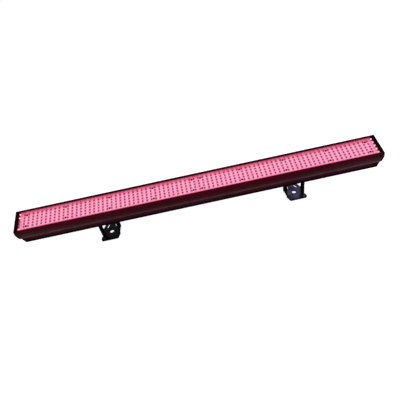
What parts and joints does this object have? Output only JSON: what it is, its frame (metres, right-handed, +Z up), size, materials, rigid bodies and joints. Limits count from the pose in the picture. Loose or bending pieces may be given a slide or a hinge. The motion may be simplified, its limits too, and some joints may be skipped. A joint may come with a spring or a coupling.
{
  "type": "led strip batten",
  "caption": "Slim stage light bar with a long field of LEDs in its upper face, on two steel yokes that let it tilt, stand or hang.",
  "frame": {"origin": "on the surface that the two yokes stand on, under the middle of the box round the batten", "axes": "+X along the batten, -Y the front that the light face leans towards, +Z up"},
  "size_m": [1.07, 0.0986, 0.1495],
  "materials": {
    "black_aluminium": "semi-gloss black powder coat on an aluminium extrusion",
    "black_steel": "semi-gloss black powder coat on folded sheet steel",
    "bracket_steel": "satin black powder coat",
    "board_white": "white solder mask, lit pink by the LEDs",
    "led_lens": "round LED lens, lit magenta",
    "end_led_lens": "round LED lens, lit pale pink",
    "zinc_steel": "bright zinc plate",
    "washer_fibre": "dark fibre washer",
    "knob_rubber": "soft black hand knob",
    "button_rubber": "dark rubber button",
    "display_window": "dark red clear window",
    "socket_plastic": "black moulded plastic",
    "supply_case": "plain folded sheet",
    "circuit_board": "green circuit board with its components",
    "cable_sheath": "black cable sheath"
  },
  "bodies": {
    "batten": {"housing": "black_aluminium", "end_plate_left": "black_aluminium", "end_plate_right": "black_aluminium", "tray_left": "black_steel", "tray_middle": "black_steel", "tray_right": "black_steel", "led_board_left": "board_white", "end_board_left": "board_white", "led_row_left_1": "led_lens", "led_row_left_2": "led_lens", "led_row_left_3": "led_lens", "led_row_left_4": "led_lens", "led_row_left_5": "led_lens", "end_leds_left": "end_led_lens", "lug_left": "bracket_steel", "lock_nut_left_outer": "zinc_steel", "lock_nut_left_inner": "zinc_steel", "pivot_bolt_left": "zinc_steel", "friction_washer_left_outer": "washer_fibre", "friction_washer_left_inner": "washer_fibre", "led_board_right": "board_white", "end_board_right": "board_white", "led_row_right_1": "led_lens", "led_row_right_2": "led_lens", "led_row_right_3": "led_lens", "led_row_right_4": "led_lens", "led_row_right_5": "led_lens", "end_leds_right": "end_led_lens", "lug_right": "bracket_steel", "lock_nut_right_outer": "zinc_steel", "lock_nut_right_inner": "zinc_steel", "pivot_bolt_right": "zinc_steel", "friction_washer_right_outer": "washer_fibre", "friction_washer_right_inner": "washer_fibre", "display_window": "display_window", "data_in_socket": "socket_plastic", "data_out_socket": "socket_plastic", "mains_inlet": "socket_plastic", "power_supply": "supply_case", "driver_board": "circuit_board", "control_board": "circuit_board", "mains_lead": "cable_sheath", "supply_lead": "cable_sheath", "data_lead": "cable_sheath"},
    "yoke_left": {"yoke_left": "bracket_steel"},
    "clamp_knob_left": {"clamp_knob_left": "knob_rubber"},
    "yoke_right": {"yoke_right": "bracket_steel"},
    "clamp_knob_right": {"clamp_knob_right": "knob_rubber"},
    "button_menu": {"button_menu": "button_rubber"},
    "button_down": {"button_down": "button_rubber"},
    "button_up": {"button_up": "button_rubber"},
    "button_enter": {"button_enter": "button_rubber"}
  },
  "joints": [
    {"name": "yoke_left_tilt", "type": "hinge", "parent": "batten", "child": "yoke_left", "pos_m": [-0.2975, 0.01226, 0.0631], "axis": [1, 0, 0], "range_deg": [-65, 105]},
    {"name": "clamp_knob_left_turn", "type": "hinge", "parent": "yoke_left", "child": "clamp_knob_left", "pos_m": [-0.2975, 0.01226, 0.0631], "axis": [-1, 0, 0], "range_deg": [0, 270]},
    {"name": "yoke_right_tilt", "type": "hinge", "parent": "batten", "child": "yoke_right", "pos_m": [0.2975, 0.01226, 0.0631], "axis": [1, 0, 0], "range_deg": [-65, 105]},
    {"name": "clamp_knob_right_turn", "type": "hinge", "parent": "yoke_right", "child": "clamp_knob_right", "pos_m": [0.2975, 0.01226, 0.0631], "axis": [1, 0, 0], "range_deg": [0, 270]},
    {"name": "button_menu_press", "type": "slide", "parent": "batten", "child": "button_menu", "axis": [0, -0.342, 0.9397], "range_m": [0, 0.0008], "stiffness_N_per_m": 400},
    {"name": "button_down_press", "type": "slide", "parent": "batten", "child": "button_down", "axis": [0, -0.342, 0.9397], "range_m": [0, 0.0008], "stiffness_N_per_m": 400},
    {"name": "button_up_press", "type": "slide", "parent": "batten", "child": "button_up", "axis": [0, -0.342, 0.9397], "range_m": [0, 0.0008], "stiffness_N_per_m": 400},
    {"name": "button_enter_press", "type": "slide", "parent": "batten", "child": "button_enter", "axis": [0, -0.342, 0.9397], "range_m": [0, 0.0008], "stiffness_N_per_m": 400}
  ]
}
